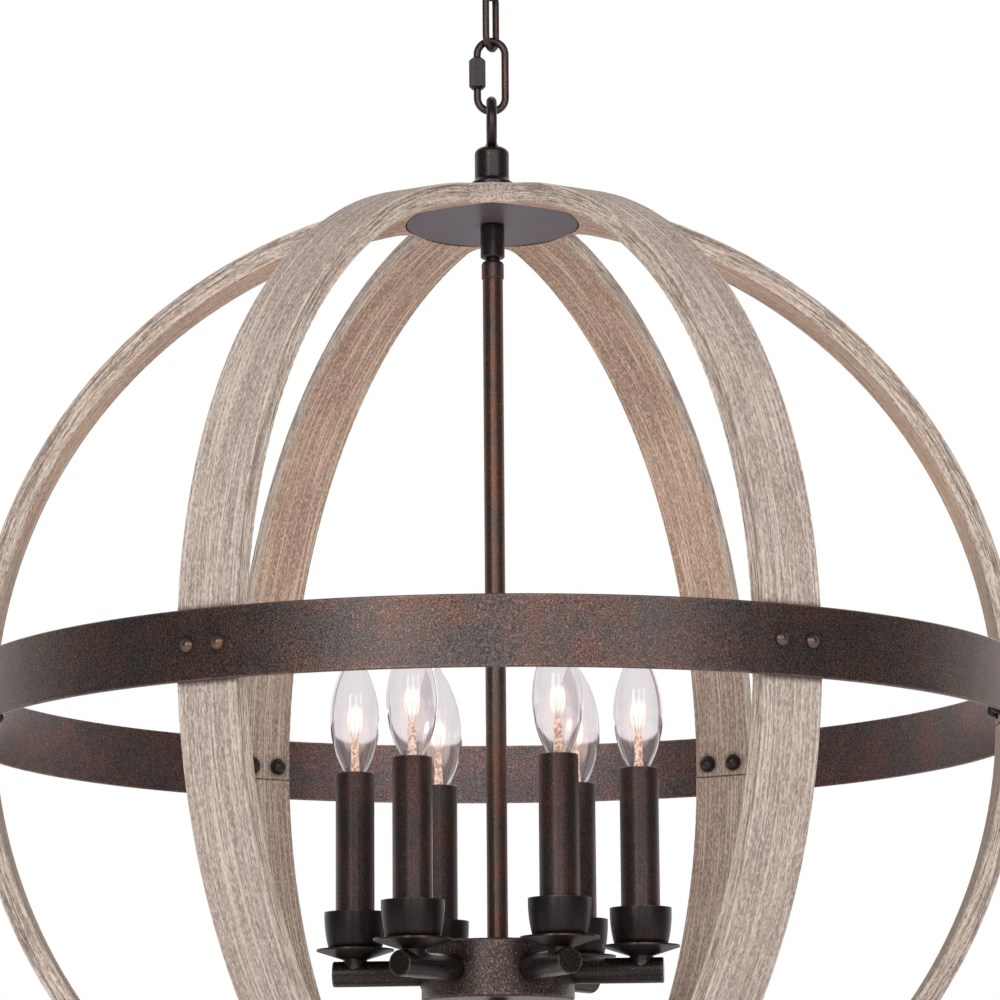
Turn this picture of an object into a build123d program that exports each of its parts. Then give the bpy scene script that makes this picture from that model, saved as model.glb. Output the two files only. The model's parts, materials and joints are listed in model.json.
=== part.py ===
from build123d import *
import math
import os

# Six-light orb chandelier. Millimetres, +Z up. The origin is the centre of the ceiling plane, where the
# mounting strap bears on the outlet box, and everything else hangs below it.

# Fits and clearances
THREAD_FIT = 0.05  # radial, between a thread or spigot and its hole
TURN_FIT = 0.1  # radial, between a piece that turns or slides and its seat
HANG_GAP = 0.3  # between a hanging link and the bar that carries it
GLUE_LINE = 0.1  # between glued faces of the ribs
SEAT_GAP = 0.02  # between a flat piece and a face that it nearly touches

# Bent wood ribs
RIB_COUNT = 6
ORB_RADIUS = 352.0  # outer face of the hoops
RIB_WIDTH = 42.0
RIB_THICKNESS = 14.0
RIB_ARRIS = 1.2
CROSSING_ROUND = 20.0  # between neighbouring ribs where they meet at the poles
LAP_HALF = 9.5  # half of the lap joint, above and below the bolts
SEAM_VEE = 1.0  # slanted sides of the groove eased into the lap's inner seam

# Equator band and its bolts
BAND_DROP = 2.5  # band's middle below the hoops' centre
BAND_HEIGHT = 43.4
BAND_THICKNESS = 3.0
BAND_EDGE = 0.6
BOLT_SPACING = 22.0
BOLT_DIAMETER = 5.0
BOLT_HEAD_DIAMETER = 9.0
BOLT_HEAD_HEIGHT = 3.6
BOLT_HEAD_EDGE = 0.9
CAP_NUT_DIAMETER = 11.5
CAP_NUT_DOME_DIAMETER = 9.4
CAP_NUT_FLANGE = 1.6
CAP_NUT_HEIGHT = 7.0
BOLT_GRIP = 4.5  # length of bolt inside its cap nut

# Crown and base plates
PLATE_RADIUS = 59.3
PLATE_THICKNESS = 2.0
PLATE_EDGE = 0.7
PLATE_RECESS = 2.6  # depth of the flat seat cut in the ribs at the plate's rim
PLATE_RIM_GAP = 0.3

# Threaded nipple through the crown, and what it clamps
NIPPLE_DIAMETER = 10.2
NIPPLE_BORE = 6.4
NIPPLE_GRIP = 12.0  # length screwed into a loop collar
WASHER_FOOT_RADIUS = 17.0
WASHER_NECK_RADIUS = 12.3
WASHER_HEIGHT = 8.4
WASHER_FOOT_HEIGHT = 5.5
COUPLING_DIAMETER = 16.5
COUPLING_LENGTH = 23.1
NIPPLE_EXPOSED = 3.1
TURNED_CHAMFER = 0.8

# Stem
STEM_DIAMETER = 13.9
STEM_BORE = 10.9
STEM_LENGTH = 453.3  # from its collar to the hub's top
STEM_COLLAR_DIAMETER = 15.3
STEM_COLLAR_LENGTH = 11.6
STEM_SOCKET = 12.0  # depth of the stem inside the hub's boss

# Hub drum
HUB_DIAMETER = 101.5
HUB_HEIGHT = 36.1  # without its cover
HUB_WALL = 2.0
HUB_EDGE = 1.2
HUB_BOSS_WALL = 4.0
HUB_COVER_THICKNESS = 2.0
HUB_COVER_SPIGOT = 4.0
HUB_FINIAL_RADIUS = 9.0
HUB_FINIAL_HEIGHT = 20.0
HUB_FINIAL_NECK_DROP = 4.7
HUB_FINIAL_SHANK = 6.0  # diameter
HUB_FINIAL_GRIP = 7.0

# Arms and candles
ARM_COUNT = 6
ARM_TURN = -5.6  # degrees that the cluster is turned from the ribs
CANDLE_CIRCLE = 95.3  # radius through the candles' axes
ARM_OVERHANG = 14.7  # arm past its candle's axis
ARM_DIAMETER = 17.0
ARM_WALL = 1.5
ARM_EDGE = 0.5
ARM_TAIL = 8.0  # arm inside the drum's wall
LOCK_RING_WALL = 3.0
LOCK_RING_LENGTH = 4.0
POST_DIAMETER = 16.0
POST_SPIGOT = 10.0
POST_BORE = 6.4
POST_HEIGHT = 1.2  # collar seen between the arm and the saucer
POST_TAIL = 2.0  # spigot below the arm's wall
POST_GRIP = 7.0  # spigot inside the lampholder
SAUCER_RADIUS = 25.8
SAUCER_DEPTH = 6.7
SAUCER_WALL = 1.2
SAUCER_FLOOR_RADIUS = 9.0
CUP_RIM_RADIUS = 20.6
CUP_BASE_RADIUS = 15.5
CUP_SHOULDER_RADIUS = 18.2
CUP_SHOULDER_HEIGHT = 5.5
CUP_SIDE_BEND = 90.0  # radius of its swelling side
CUP_HEIGHT = 30.2
CUP_WALL = 1.2
SLEEVE_DIAMETER = 26.0
SLEEVE_WALL = 1.2
SLEEVE_LENGTH = 119.9

# Lampholder and bulb
HOLDER_DIAMETER = 21.0
HOLDER_BODY = 35.0
HOLDER_NECK = 14.0  # diameter of the tube that stands on the post
HOLDER_TOP_DROP = 2.4  # holder's mouth below the sleeve's top
HOLDER_FLOOR = 6.0
SCREW_SHELL_DIAMETER = 11.9
SCREW_SHELL_LENGTH = 18.0
CONTACT_RADIUS = 3.0
CONTACT_HEIGHT = 2.0
CONTACT_GAP = 0.3
BULB_RADIUS = 16.7
BULB_NECK_RADIUS = 5.4
BULB_BELLY_HEIGHT = 38.9  # widest point above the screw shell
BULB_TIP_HEIGHT = 85.8
BULB_TIP_RADIUS = 1.6
BULB_WALL = 0.8
MOUNT_FOOT_RADIUS = 4.0
MOUNT_TOP_RADIUS = 1.6
MOUNT_LENGTH = 28.0

# Wiring inside the stem and arms
MAIN_LEAD = 5.0
ARM_LEAD = 3.0
ARM_LEAD_BEND = 8.0
SPLICE_RADIUS = 9.0
SPLICE_HEIGHT = 16.0
LEAD_GAP = 0.2

# Loop collars, one at the crown and one under the canopy
COLLAR_FLANGE_RADIUS = 15.0
COLLAR_FLANGE_THICKNESS = 2.2
COLLAR_FLARE_HEIGHT = 3.4
COLLAR_CAP_RADIUS = 11.85
COLLAR_CAP_HEIGHT = 23.4
COLLAR_DOME_HEIGHT = 4.9
COLLAR_DOME_TOP_RADIUS = 4.0
COLLAR_ROOT_RADIUS = 6.5  # flare at the ring's foot
COLLAR_ROOT_HEIGHT = 4.0
COLLAR_RING_RADIUS = 15.7
COLLAR_BAR = 7.2
COLLAR_HEIGHT = 64.2
WIRE_HOLE = 4.4
WIRE_HOLE_OFFSET = 7.0
WIRE_CAVITY_RADIUS = 9.6
WIRE_CAVITY_HEIGHT = 5.0

# Chain and quick link
LINK_COUNT = 2
LINK_LENGTH = 46.5
LINK_WIDTH = 21.0
LINK_WIRE = 4.8
LINK_BUTT_GAP = 0.5
LINK_TURNS = (-11.0, 64.7)  # degrees about Z, upper link first
QUICK_LENGTH = 55.5
QUICK_WIDTH = 24.4
QUICK_WIRE = 5.2
QUICK_NUT_LENGTH = 22.0
QUICK_NUT_ACROSS = 11.4  # across corners
QUICK_NUT_CHAMFER = 1.8
QUICK_NUT_RISE = 1.8  # closed nut's middle above the link's middle
QUICK_NUT_GRIP = 1.2  # nut past the gap's upper end

# Ceiling mount
CANOPY_RADIUS = 63.5
CANOPY_DEPTH = 25.0
CANOPY_WALL = 1.2
CANOPY_LIP = 3.0
CANOPY_FLAT_RADIUS = 22.0
STRAP_LENGTH = 106.0
STRAP_WIDTH = 20.0
STRAP_THICKNESS = 2.0
STRAP_OFFSET = 8.0  # middle of the strap below its ends
STRAP_MIDDLE = 56.0
STRAP_JOG = 6.0
STRAP_SLOT_SPACING = 88.9
STRAP_SLOT_WIDTH = 5.0
STRAP_SLOT_LENGTH = 12.0
LOCK_NUT_ACROSS = 14.0  # across flats
LOCK_NUT_THICKNESS = 4.0
CANOPY_NIPPLE_RISE = 1.0  # nipple above its upper lock nut

# Base finial
FINIAL_FLANGE_RADIUS = 14.4
FINIAL_FLANGE_THICKNESS = 2.2
FINIAL_NECK_RADIUS = 6.5
FINIAL_NECK_DROP = 8.4  # neck below the wood
FINIAL_HEIGHT = 24.0
BASE_BOSS_RADIUS = 8.25
BASE_BOSS_HEIGHT = 12.0


# Heights of the hanging stack, measured down from the ceiling
canopy_ring_inner = -CANOPY_DEPTH - COLLAR_HEIGHT + COLLAR_BAR
link_tops = []
carrier_top = canopy_ring_inner
for _ in range(LINK_COUNT):
    link_tops.append(carrier_top + HANG_GAP + LINK_WIRE)
    carrier_top = link_tops[-1] - LINK_LENGTH + LINK_WIRE
quick_top = carrier_top + HANG_GAP + QUICK_WIRE
quick_bottom = quick_top - QUICK_LENGTH
quick_middle = (quick_top + quick_bottom) / 2
crown_ring_top = quick_bottom + QUICK_WIRE + HANG_GAP + COLLAR_BAR
washer_top = crown_ring_top - COLLAR_HEIGHT
orb_top = washer_top - WASHER_HEIGHT
orb_z = orb_top - ORB_RADIUS

# Radii and heights of the orb, measured from the hoops' centre
rib_inner = ORB_RADIUS - RIB_THICKNESS
rib_middle = ORB_RADIUS - RIB_THICKNESS / 2
band_inner = math.hypot(ORB_RADIUS, RIB_WIDTH / 2)
band_outer = band_inner + BAND_THICKNESS
bolt_angle = math.degrees(math.asin(BOLT_SPACING / 2 / band_outer))
plate_seat = math.sqrt(rib_inner**2 - PLATE_RADIUS**2) + PLATE_RECESS
nipple_radius = NIPPLE_DIAMETER / 2
nipple_hole = nipple_radius + THREAD_FIT
coupling_top = plate_seat - PLATE_THICKNESS
coupling_bottom = coupling_top - COUPLING_LENGTH
stem_top = coupling_bottom - NIPPLE_EXPOSED
stem_shoulder = stem_top - STEM_COLLAR_LENGTH
hub_top = stem_shoulder - STEM_LENGTH
hub_bottom = hub_top - HUB_HEIGHT
hub_inner = HUB_DIAMETER / 2 - HUB_WALL
boss_bottom = hub_top - HUB_WALL - STEM_SOCKET

# Heights of one candle, measured from its arm's axis
arm_z = hub_top - (HUB_HEIGHT + HUB_COVER_THICKNESS) / 2
arm_radius = ARM_DIAMETER / 2
arm_bore = arm_radius - ARM_WALL
saucer_floor = arm_radius + POST_HEIGHT
saucer_rim = saucer_floor + SAUCER_DEPTH
saucer_slope = (SAUCER_DEPTH - SAUCER_WALL) / (SAUCER_RADIUS - SAUCER_FLOOR_RADIUS)
cup_foot = saucer_floor + SAUCER_WALL
cup_base = cup_foot + saucer_slope * (CUP_BASE_RADIUS - SAUCER_FLOOR_RADIUS) + SEAT_GAP
cup_floor = cup_base + CUP_WALL
cup_rim = cup_foot + CUP_HEIGHT
sleeve_top = cup_floor + SLEEVE_LENGTH
holder_top = sleeve_top - HOLDER_TOP_DROP
holder_body_bottom = holder_top - HOLDER_BODY
shell_top = holder_top - SEAT_GAP
shell_bottom = shell_top - SCREW_SHELL_LENGTH
socket_floor = shell_bottom - CONTACT_HEIGHT - CONTACT_GAP
post_top = cup_floor + POST_GRIP


def turned(*outline):
    """Solid of revolution about Z from a closed outline of (radius, height) corners."""
    return turned_edges(Polyline(*outline, close=True))


def turned_edges(*edges):
    """Solid of revolution about Z from edges that close an outline of (radius, height)."""
    return revolve(Plane.XZ * make_face(Curve() + list(edges)), Axis.Z)


def tube(outer, inner, bottom, top):
    """Straight tube about Z."""
    return turned((inner, bottom), (outer, bottom), (outer, top), (inner, top))


def chamfered_tube(outer, inner, bottom, top, chamfer):
    """Tube about Z with both outer edges broken."""
    return turned(
        (inner, bottom),
        (outer - chamfer, bottom),
        (outer, bottom + chamfer),
        (outer, top - chamfer),
        (outer - chamfer, top),
        (inner, top),
    )


def rod(radius, bottom, top):
    """Straight round bar about Z."""
    return turned((0, bottom), (radius, bottom), (radius, top), (0, top))


def around(solid, count, first=0.0):
    """Copies of a solid, evenly turned about Z."""
    return [Rot(0, 0, first + 360 / count * i) * solid for i in range(count)]


def write(node, *solids):
    """One STEP file for one node, of one solid or a group of separate solids."""
    group = [solid for shape in solids for solid in shape.solids()]
    shape = group[0] if len(group) == 1 else Compound(group)
    export_step(shape, os.path.join("parts", node + ".step"))


def stadium_link(length, width, wire):
    """Closed link of round wire, upright in the XZ plane and centred on the origin."""
    bend = (width - wire) / 2
    straight = length - width
    section = Plane.XY * Pos(bend, 0, 0) * Circle(wire / 2)
    leg = Pos(0, 0, -straight / 2) * extrude(section, straight)
    bow = revolve(section, Axis((0, 0, 0), (0, -1, 0)), 180)
    half = leg + Pos(0, 0, straight / 2) * bow
    return half + Rot(0, 180, 0) * half


def chain_link():
    """Link with the butt joint of its bent wire in one leg."""
    slit = Pos(-(LINK_WIDTH - LINK_WIRE) / 2, 0, 0) * Box(2 * LINK_WIRE, 2 * LINK_WIRE, LINK_BUTT_GAP)
    return stadium_link(LINK_LENGTH, LINK_WIDTH, LINK_WIRE) - slit


def quick_link():
    """Link with a gap in one leg, wide enough for the chain's wire."""
    gap = LINK_WIRE + HANG_GAP
    cut = Box(2 * QUICK_WIRE, 2 * QUICK_WIRE, gap)
    gap_middle = QUICK_NUT_RISE + QUICK_NUT_LENGTH / 2 - QUICK_NUT_GRIP - gap / 2
    leg_x = -(QUICK_WIDTH - QUICK_WIRE) / 2
    return stadium_link(QUICK_LENGTH, QUICK_WIDTH, QUICK_WIRE) - Pos(leg_x, 0, gap_middle) * cut


def quick_link_nut():
    """Hexagon nut with coned ends, closed over the quick link's gap."""
    corner = QUICK_NUT_ACROSS / 2
    half = QUICK_NUT_LENGTH / 2
    prism = Pos(0, 0, -half) * extrude(RegularPolygon(corner, 6), QUICK_NUT_LENGTH)
    cones = chamfered_tube(corner, QUICK_WIRE / 2 + TURN_FIT, -half, half, QUICK_NUT_CHAMFER)
    return Pos(-(QUICK_WIDTH - QUICK_WIRE) / 2, 0, QUICK_NUT_RISE) * (prism & cones)


def loop_collar():
    """Threaded cap with a cast ring on top, standing on z = 0 with its ring in the YZ plane."""
    flare_top = COLLAR_FLANGE_THICKNESS + COLLAR_FLARE_HEIGHT
    dome_top = COLLAR_CAP_HEIGHT + COLLAR_DOME_HEIGHT
    cap = turned_edges(
        Polyline(
            (0, dome_top),
            (0, 0),
            (COLLAR_FLANGE_RADIUS, 0),
            (COLLAR_FLANGE_RADIUS, COLLAR_FLANGE_THICKNESS),
        ),
        RadiusArc(
            (COLLAR_FLANGE_RADIUS, COLLAR_FLANGE_THICKNESS),
            (COLLAR_CAP_RADIUS, flare_top),
            2 * COLLAR_FLARE_HEIGHT,
        ),
        Line((COLLAR_CAP_RADIUS, flare_top), (COLLAR_CAP_RADIUS, COLLAR_CAP_HEIGHT)),
        EllipticalCenterArc(
            (COLLAR_DOME_TOP_RADIUS, COLLAR_CAP_HEIGHT),
            COLLAR_CAP_RADIUS - COLLAR_DOME_TOP_RADIUS,
            COLLAR_DOME_HEIGHT,
            start_angle=0,
            arc_size=90,
        ),
        Line((COLLAR_DOME_TOP_RADIUS, dome_top), (0, dome_top)),
    )
    root_foot = (COLLAR_ROOT_RADIUS, dome_top - COLLAR_ROOT_HEIGHT / 4)
    root_top = (COLLAR_BAR / 2, dome_top + COLLAR_ROOT_HEIGHT)
    root = turned_edges(
        Polyline(root_top, (0, root_top[1]), (0, root_foot[1]), root_foot),
        RadiusArc(root_foot, root_top, 2 * COLLAR_ROOT_HEIGHT),
    )
    ring_z = COLLAR_HEIGHT - COLLAR_RING_RADIUS - COLLAR_BAR / 2
    ring = Pos(0, 0, ring_z) * Rot(0, 90, 0) * Torus(COLLAR_RING_RADIUS, COLLAR_BAR / 2)
    cavity = rod(WIRE_CAVITY_RADIUS, NIPPLE_GRIP, NIPPLE_GRIP + WIRE_CAVITY_HEIGHT)
    wire_hole = Pos(WIRE_HOLE_OFFSET, 0, 0) * rod(WIRE_HOLE / 2, NIPPLE_GRIP, COLLAR_HEIGHT)
    return cap + root + ring - rod(nipple_hole, 0, NIPPLE_GRIP) - cavity - wire_hole


def strap():
    """Offset mounting strap: slotted ends on the ceiling and a lower middle for the nipple."""
    low = -STRAP_OFFSET
    half = STRAP_LENGTH / 2
    middle = STRAP_MIDDLE / 2
    jog = middle + STRAP_JOG
    upper = [(-half, 0), (-jog, 0), (-middle, low), (middle, low), (jog, 0), (half, 0)]
    lower = [(x, z - STRAP_THICKNESS) for x, z in reversed(upper)]
    outline = make_face(Polyline(*[(x, 0, z) for x, z in upper + lower], close=True))
    bar = extrude(outline, STRAP_WIDTH / 2, dir=(0, 1, 0), both=True)
    slot = extrude(SlotOverall(STRAP_SLOT_LENGTH, STRAP_SLOT_WIDTH), 2 * STRAP_THICKNESS, both=True)
    hole = rod(nipple_hole, low - 2 * STRAP_THICKNESS, low + STRAP_THICKNESS)
    return bar - hole - [Pos(side * STRAP_SLOT_SPACING / 2, 0, 0) * slot for side in (-1, 1)]


def lock_nut(bottom):
    """Hexagon lock nut on the canopy's nipple."""
    hexagon = RegularPolygon(LOCK_NUT_ACROSS / 2, 6, major_radius=False)
    return Pos(0, 0, bottom) * extrude(hexagon - Circle(nipple_hole), LOCK_NUT_THICKNESS)


def canopy_bowl(radius, depth, flat):
    """Solid bowl under the ceiling: upright lip, round side and flat bottom."""
    return turned_edges(
        Polyline((0, -depth), (0, 0), (radius, 0), (radius, -CANOPY_LIP)),
        TangentArc((flat, -depth), (radius, -CANOPY_LIP), tangent=(1, 0)),
        Line((flat, -depth), (0, -depth)),
    )


def canopy():
    shell = canopy_bowl(CANOPY_RADIUS, CANOPY_DEPTH, CANOPY_FLAT_RADIUS)
    hollow = canopy_bowl(CANOPY_RADIUS - CANOPY_WALL, CANOPY_DEPTH - CANOPY_WALL, CANOPY_FLAT_RADIUS)
    return shell - hollow - rod(nipple_hole, -CANOPY_DEPTH, 0)


def bolt_places():
    """Turns about Z of the twelve band bolts, two at each rib."""
    steps = [360 / RIB_COUNT * i for i in range(RIB_COUNT)]
    return [step + side * bolt_angle for step in steps for side in (-1, 1)]


def outward(solid, reach, turn):
    """A solid made about +Z, laid along the radius at the band's middle height."""
    return Rot(0, 0, turn) * Pos(reach, 0, -BAND_DROP) * Rot(0, 90, 0) * solid


def band():
    """Flat band with broken edges and its bolt holes."""
    half = BAND_HEIGHT / 2
    hoop = chamfered_tube(band_outer, band_inner, -half - BAND_DROP, half - BAND_DROP, BAND_EDGE)
    hole = rod(BOLT_DIAMETER / 2 + THREAD_FIT, -2 * BAND_THICKNESS, 2 * BAND_THICKNESS)
    return hoop - [outward(hole, band_inner, turn) for turn in bolt_places()]


def cap_nut_seat():
    """Distance of the cap nuts' seat from the axis, clear of the rib's curved inner face."""
    tilt = math.radians(bolt_angle)
    nut_radius = CAP_NUT_DIAMETER / 2
    sag = (nut_radius + BAND_DROP) ** 2 / (2 * rib_inner)
    return rib_inner / math.cos(tilt) - nut_radius * math.tan(tilt) - sag - SEAT_GAP


def band_bolt():
    """Dome-head bolt about Z with its head's seat at z = 0."""
    head_radius = BOLT_HEAD_DIAMETER / 2
    length = band_outer - cap_nut_seat() + BOLT_GRIP
    dome = turned_edges(
        Polyline((0, BOLT_HEAD_HEIGHT), (0, 0), (head_radius, 0), (head_radius, BOLT_HEAD_EDGE)),
        TangentArc((0, BOLT_HEAD_HEIGHT), (head_radius, BOLT_HEAD_EDGE), tangent=(1, 0)),
    )
    return dome + rod(BOLT_DIAMETER / 2, -length, 0)


def band_cap_nut():
    """Domed cap nut about Z with its seat at z = 0 and its dome towards -Z."""
    dome_radius = CAP_NUT_DOME_DIAMETER / 2
    outline = turned_edges(
        Polyline(
            (0, -CAP_NUT_HEIGHT),
            (0, 0),
            (CAP_NUT_DIAMETER / 2, 0),
            (CAP_NUT_DIAMETER / 2, -CAP_NUT_FLANGE),
            (dome_radius, -CAP_NUT_FLANGE),
        ),
        TangentArc((0, -CAP_NUT_HEIGHT), (dome_radius, -CAP_NUT_FLANGE), tangent=(1, 0)),
    )
    return outline - rod(BOLT_DIAMETER / 2 + THREAD_FIT, -BOLT_GRIP - SEAT_GAP, 0)


def rib_plan():
    """Plan of the +X rib: parallel sides that sweep in rounds to its mitres at the pole."""
    mitre = math.radians(180 / RIB_COUNT)
    half = RIB_WIDTH / 2
    far = 2 * ORB_RADIUS
    meet = (half + CROSSING_ROUND) / math.sin(mitre) - CROSSING_ROUND
    corner = (meet * math.cos(mitre), meet * math.sin(mitre))
    sweep = ((half + CROSSING_ROUND) / math.tan(mitre), half)
    half_plan = make_face(
        Curve()
        + [
            Polyline(sweep, (far, half), (far, 0), (0, 0), corner),
            TangentArc(sweep, corner, tangent=(-1, 0)),
        ]
    )
    tip = GLUE_LINE / 2 / math.sin(mitre)
    rise = far * math.tan(mitre)
    wedge = make_face(Polyline((tip, 0), (tip + far, -rise), (tip + far, rise), close=True))
    return (half_plan + mirror(half_plan, Plane.XZ)) & wedge


def rib_strip():
    """Bent strip on the +X side, from a little below the equator to the top pole."""
    start = -10.0
    spin = Axis((0, 0, 0), (0, -1, 0))
    section = Pos(rib_middle, 0, 0) * Rectangle(RIB_THICKNESS, ORB_RADIUS)
    hoop = revolve(section.rotate(spin, start), spin, 90 - start)
    strip = hoop & extrude(rib_plan(), 2 * ORB_RADIUS, both=True)
    strip = fillet(strip.edges().filter_by(on_rib_side), RIB_ARRIS)
    plate_cut = rod(PLATE_RADIUS + PLATE_RIM_GAP, 0, plate_seat)
    return strip - plate_cut - rod(nipple_hole, 0, 2 * ORB_RADIUS)


def on_rib_side(edge):
    """Whether an edge runs along a side of the rib, on its outer or inner face."""
    middle = edge.position_at(0.5)
    radius = math.hypot(middle.X, middle.Z)
    on_face = min(abs(radius - ORB_RADIUS), abs(radius - rib_inner)) < SEAT_GAP
    return on_face and abs(middle.Y) > RIB_WIDTH / 2 - SEAT_GAP


def rib_bolt_holes():
    hole = rod(BOLT_DIAMETER / 2 + THREAD_FIT, -RIB_THICKNESS, RIB_THICKNESS)
    return [outward(hole, rib_middle, side * bolt_angle) for side in (-1, 1)]


def lap_region(low, high):
    """Box round the lap joint of the +X rib between two heights."""
    depth = 4 * RIB_THICKNESS
    box = Box(depth, 2 * RIB_WIDTH, high - low)
    return Pos(rib_middle, 0, (low + high) / 2) * box


def lap_cylinder(radius):
    return Rot(90, 0, 0) * Cylinder(radius, 2 * RIB_WIDTH)


def seam_groove():
    """Small groove along the seam between the halves, which opens to the rib's inner face."""
    z = -BAND_DROP - LAP_HALF - GLUE_LINE / 2
    x = math.sqrt(rib_inner**2 - z**2) - SEAM_VEE / math.sqrt(2)
    return Pos(x, 0, z) * Rot(0, 45, 0) * Box(2 * SEAM_VEE, 2 * RIB_WIDTH, 2 * SEAM_VEE)


def upper_rib():
    """Upper half: its inner layer runs down behind the band."""
    low, high = -BAND_DROP - LAP_HALF, -BAND_DROP + LAP_HALF
    far = low - ORB_RADIUS / 2
    outer_layer = lap_region(far, high) - lap_cylinder(rib_middle - GLUE_LINE / 2)
    return rib_strip() - lap_region(far, low) - outer_layer - rib_bolt_holes() - seam_groove()


def lower_rib():
    """Lower half: its outer layer runs up behind the band."""
    low, high = -BAND_DROP - LAP_HALF - GLUE_LINE, -BAND_DROP + LAP_HALF - GLUE_LINE
    far = high + ORB_RADIUS / 2
    inner_layer = lap_region(low, far) & lap_cylinder(rib_middle + GLUE_LINE / 2)
    strip = Rot(180, 0, 0) * rib_strip()
    return strip - lap_region(high, far) - inner_layer - rib_bolt_holes() - seam_groove()


def crown_plate():
    """Round plate with a broken lower edge, under the crown."""
    low = plate_seat - PLATE_THICKNESS
    return turned(
        (nipple_hole, low),
        (PLATE_RADIUS - PLATE_EDGE, low),
        (PLATE_RADIUS, low + PLATE_EDGE),
        (PLATE_RADIUS, plate_seat),
        (nipple_hole, plate_seat),
    )


def base_plate():
    """Plate over the bottom crossing, with a threaded boss for the finial."""
    plate = Rot(180, 0, 0) * crown_plate()
    foot = -plate_seat + PLATE_THICKNESS
    boss = tube(BASE_BOSS_RADIUS, nipple_hole, foot, foot + BASE_BOSS_HEIGHT)
    return plate + boss


def base_finial():
    """Turned finial below the bottom crossing, with the shank that clamps it."""
    seat = -ORB_RADIUS
    flange_z = seat - FINIAL_FLANGE_THICKNESS
    tip = seat - FINIAL_HEIGHT
    neck = (FINIAL_NECK_RADIUS, seat - FINIAL_NECK_DROP)
    body = turned_edges(
        Polyline(
            (0, tip),
            (0, seat),
            (FINIAL_FLANGE_RADIUS, seat),
            (FINIAL_FLANGE_RADIUS, flange_z),
        ),
        RadiusArc((FINIAL_FLANGE_RADIUS, flange_z), neck, FINIAL_NECK_RADIUS - FINIAL_FLANGE_RADIUS),
        TangentArc((0, tip), neck, tangent=(1, 0)),
    )
    shank_top = -plate_seat + PLATE_THICKNESS + BASE_BOSS_HEIGHT
    return body + rod(nipple_radius, seat, shank_top)


def crown_washer():
    """Coned washer between the wood and the loop collar."""
    foot = ORB_RADIUS
    return turned(
        (nipple_hole, foot),
        (WASHER_FOOT_RADIUS, foot),
        (WASHER_FOOT_RADIUS, foot + TURNED_CHAMFER),
        (WASHER_NECK_RADIUS, foot + WASHER_FOOT_HEIGHT),
        (WASHER_NECK_RADIUS, foot + WASHER_HEIGHT),
        (nipple_hole, foot + WASHER_HEIGHT),
    )


def stem():
    """Stem tube with its threaded collar."""
    outer, bore = STEM_DIAMETER / 2, STEM_BORE / 2
    collar = STEM_COLLAR_DIAMETER / 2
    foot = hub_top - HUB_WALL - STEM_SOCKET
    return turned(
        (bore, foot),
        (outer, foot),
        (outer, stem_shoulder),
        (collar - TURNED_CHAMFER / 2, stem_shoulder),
        (collar, stem_shoulder + TURNED_CHAMFER / 2),
        (collar, stem_top - 2 * TURNED_CHAMFER),
        (collar - TURNED_CHAMFER, stem_top),
        (nipple_hole, stem_top),
        (nipple_hole, stem_shoulder),
        (bore, stem_shoulder),
    )


def hub_drum():
    """Drum open below, with a boss for the stem and a hole for each arm."""
    outer = HUB_DIAMETER / 2
    ceiling = hub_top - HUB_WALL
    socket = STEM_DIAMETER / 2 + THREAD_FIT
    boss = socket + HUB_BOSS_WALL
    shell = turned(
        (socket, hub_top),
        (outer - HUB_EDGE, hub_top),
        (outer, hub_top - HUB_EDGE),
        (outer, hub_bottom),
        (hub_inner, hub_bottom),
        (hub_inner, ceiling),
        (boss, ceiling),
        (boss, boss_bottom),
        (socket, boss_bottom),
    )
    hole = Pos(0, 0, arm_z) * Rot(0, 90, 0) * rod(arm_radius + THREAD_FIT, hub_inner / 2, HUB_DIAMETER)
    return shell - around(hole, ARM_COUNT, ARM_TURN)


def hub_cover():
    """Bottom cover with a spigot inside the drum."""
    outer = HUB_DIAMETER / 2
    spigot = hub_inner - THREAD_FIT
    shank = HUB_FINIAL_SHANK / 2 + THREAD_FIT
    low = hub_bottom - HUB_COVER_THICKNESS
    return turned(
        (shank, low),
        (outer - HUB_EDGE, low),
        (outer, hub_bottom - HUB_EDGE / 2),
        (outer, hub_bottom),
        (spigot, hub_bottom),
        (spigot, hub_bottom + HUB_COVER_SPIGOT),
        (spigot - HUB_WALL, hub_bottom + HUB_COVER_SPIGOT),
        (spigot - HUB_WALL, hub_bottom),
        (shank, hub_bottom),
    )


def hub_finial():
    """Small turned knob under the hub's cover."""
    seat = hub_bottom - HUB_COVER_THICKNESS
    tip = seat - HUB_FINIAL_HEIGHT
    neck = (HUB_FINIAL_RADIUS / 2, seat - HUB_FINIAL_NECK_DROP)
    body = turned_edges(
        Polyline((0, tip), (0, seat), (HUB_FINIAL_RADIUS, seat), neck),
        TangentArc((0, tip), neck, tangent=(1, 0)),
    )
    return body + rod(HUB_FINIAL_SHANK / 2, seat, seat + HUB_FINIAL_GRIP)


def arm():
    """Arm tube on the +X side, closed at its outer end, with the post's hole."""
    tail = hub_inner - ARM_TAIL
    end = CANDLE_CIRCLE + ARM_OVERHANG
    pipe = turned(
        (arm_bore, tail),
        (arm_radius, tail),
        (arm_radius, end - ARM_EDGE),
        (arm_radius - ARM_EDGE, end),
        (0, end),
        (0, end - ARM_WALL),
        (arm_bore, end - ARM_WALL),
    )
    hole = Pos(CANDLE_CIRCLE, 0, 0) * rod(POST_SPIGOT / 2 + THREAD_FIT, 0, ARM_DIAMETER)
    return Rot(0, 90, 0) * pipe - hole


def arm_lock_ring():
    """Ring nut on an arm's tail, against the drum's inner wall."""
    outer = arm_radius + LOCK_RING_WALL
    face = math.sqrt(hub_inner**2 - outer**2) - SEAT_GAP
    return Rot(0, 90, 0) * tube(outer, arm_radius + THREAD_FIT, face - LOCK_RING_LENGTH, face)


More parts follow.
